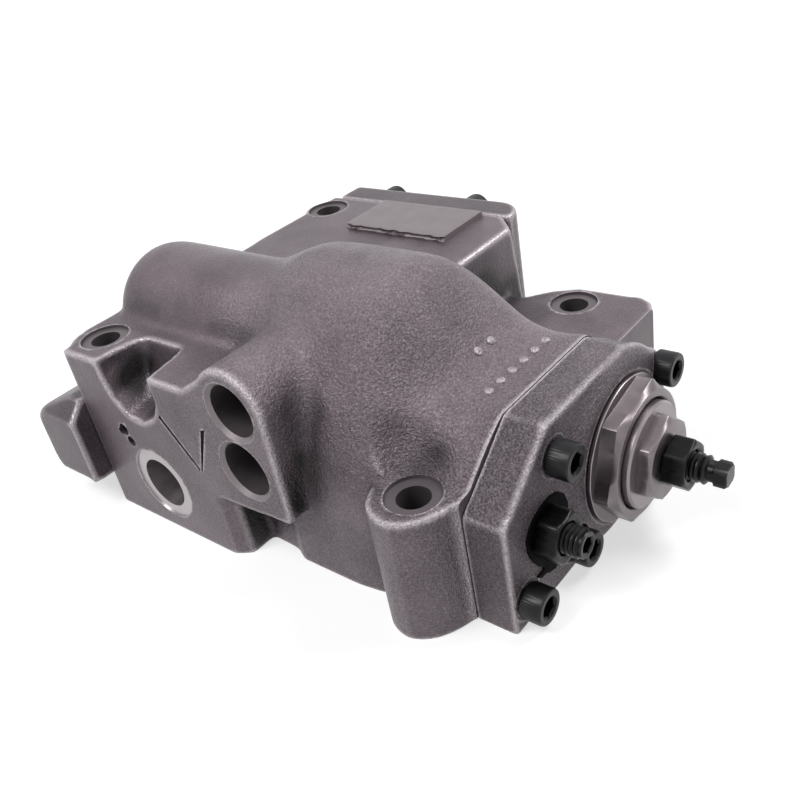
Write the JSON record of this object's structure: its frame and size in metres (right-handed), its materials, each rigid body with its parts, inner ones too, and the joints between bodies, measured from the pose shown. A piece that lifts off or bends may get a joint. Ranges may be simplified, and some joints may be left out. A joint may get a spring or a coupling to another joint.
{
  "type": "hydraulic pump regulator",
  "caption": "Cast-iron regulator for a variable hydraulic piston pump: ported casing with end covers, adjusting screws, and the pistons, spool and levers inside.",
  "frame": {"origin": "on the mounting face, midway between the two mounting screws at the pilot cover's end", "axes": "+X along the bores towards the adjusting screws, -Y out of the port face, +Z away from the mounting face"},
  "size_m": [0.2002, 0.1513, 0.078],
  "materials": {
    "cast": "sand-cast, phosphated",
    "zinc": "machined and zinc-plated",
    "black": "black oxide",
    "steel": "ground",
    "spring": "oiled spring steel",
    "rubber": "matt"
  },
  "bodies": {
    "casing": {"casing": "cast", "adjuster_cover": "cast", "pilot_cover": "cast", "rear_cover": "cast", "cover_screw_1": "black", "cover_screw_2": "black", "cover_screw_3": "black", "cover_screw_4": "black", "cover_screw_5": "black", "pilot_cover_screw_1": "black", "pilot_cover_screw_2": "black", "pilot_cover_screw_3": "black", "pilot_cover_screw_4": "black", "rear_cover_screw_1": "black", "rear_cover_screw_2": "black", "rear_cover_screw_3": "black", "rear_cover_screw_4": "black", "adjuster_seal": "rubber", "flow_seal": "rubber", "piston_case_seal": "rubber", "pilot_seal": "rubber", "mounting_face_seal_1": "rubber", "mounting_face_seal_2": "rubber", "piston_case": "steel", "sleeve": "steel", "sleeve_snap_ring": "spring", "servo_plug": "black", "fulcrum_plug": "black", "pilot_lever_pivot": "steel", "check_seat": "steel", "check_stopper": "steel", "outer_spring": "spring", "inner_spring": "spring", "pilot_spring": "spring", "pilot_adjusting_stem": "steel", "return_spring": "spring", "set_spring": "spring"},
    "lock_nut": {"lock_nut": "zinc"},
    "adjusting_screw": {"adjusting_screw": "zinc"},
    "adjusting_stem": {"adjusting_stem": "black"},
    "stem_lock_nut": {"stem_lock_nut": "black"},
    "flow_set_screw": {"flow_set_screw": "black"},
    "flow_lock_nut": {"flow_lock_nut": "black"},
    "compensator": {"compensator_piston": "steel", "compensator_rod": "steel", "compensator_spring_seat": "steel"},
    "compensator_lever": {"compensator_lever": "steel", "compensator_pin": "steel"},
    "pilot": {"pilot_piston": "steel", "pilot_spring_seat": "steel"},
    "pilot_lever": {"pilot_lever": "steel", "pilot_pin": "steel"},
    "feedback_lever": {"feedback_lever": "steel"},
    "spool": {"spool": "steel", "spool_pin": "steel", "spool_spring_seat": "steel"},
    "check_ball": {"check_ball": "steel"}
  },
  "joints": [
    {"name": "pilot_slide", "type": "slide", "parent": "casing", "child": "pilot", "axis": [1, 0, 0], "range_m": [0, 0.002], "stiffness_N_per_m": 1000, "springref_m": -0.002, "deforming": ["pilot_spring"]},
    {"name": "pilot_lever_swing", "type": "hinge", "parent": "casing", "child": "pilot_lever", "pos_m": [0.0895, -0.0325, 0.046], "axis": [0, 1, 0], "range_deg": [-4.7, 0]},
    {"name": "feedback_lever_swing", "type": "hinge", "parent": "casing", "child": "feedback_lever", "pos_m": [0.0895, -0.0205, 0.005], "axis": [0, 1, 0], "range_deg": [0, 3.35]},
    {"name": "spool_slide", "type": "slide", "parent": "casing", "child": "spool", "axis": [1, 0, 0], "range_m": [0, 0.00281], "deforming": ["return_spring"]},
    {"name": "compensator_slide", "type": "slide", "parent": "casing", "child": "compensator", "axis": [1, 0, 0], "range_m": [0, 0.0025], "stiffness_N_per_m": 2000, "springref_m": -0.002, "deforming": ["outer_spring", "inner_spring"]},
    {"name": "compensator_lever_swing", "type": "hinge", "parent": "casing", "child": "compensator_lever", "pos_m": [0.0895, 0.0065, 0.046], "axis": [0, 1, 0], "range_deg": [-5.9, 0]},
    {"name": "lock_nut_turn", "type": "hinge", "parent": "casing", "child": "lock_nut", "pos_m": [0.1435, 0.0065, 0.0215], "axis": [1, 0, 0], "range_deg": [-180, 180]},
    {"name": "adjusting_screw_turn", "type": "hinge", "parent": "casing", "child": "adjusting_screw", "pos_m": [0.1435, 0.0065, 0.0215], "axis": [1, 0, 0], "range_deg": [-180, 180]},
    {"name": "adjusting_stem_turn", "type": "hinge", "parent": "casing", "child": "adjusting_stem", "pos_m": [0.1585, 0.0065, 0.0215], "axis": [1, 0, 0], "range_deg": [-180, 180]},
    {"name": "stem_lock_nut_turn", "type": "hinge", "parent": "casing", "child": "stem_lock_nut", "pos_m": [0.1585, 0.0065, 0.0215], "axis": [1, 0, 0], "range_deg": [-180, 180]},
    {"name": "flow_set_screw_turn", "type": "hinge", "parent": "casing", "child": "flow_set_screw", "pos_m": [0.1435, -0.0325, 0.0215], "axis": [1, 0, 0], "range_deg": [-180, 180]},
    {"name": "flow_lock_nut_turn", "type": "hinge", "parent": "casing", "child": "flow_lock_nut", "pos_m": [0.1435, -0.0325, 0.0215], "axis": [1, 0, 0], "range_deg": [-180, 180]},
    {"name": "check_ball_slide", "type": "slide", "parent": "casing", "child": "check_ball", "axis": [0, 1, 0], "range_m": [0, 0.0015]}
  ],
  "couplings": [
    {"joint": "pilot_lever_swing", "follows": "pilot_slide", "rad_per_m": -40.816},
    {"joint": "feedback_lever_swing", "follows": "pilot_slide", "rad_per_m": 28.912},
    {"joint": "spool_slide", "follows": "pilot_slide", "ratio": 1.4022},
    {"joint": "compensator_lever_swing", "follows": "compensator_slide", "rad_per_m": -40.816}
  ]
}
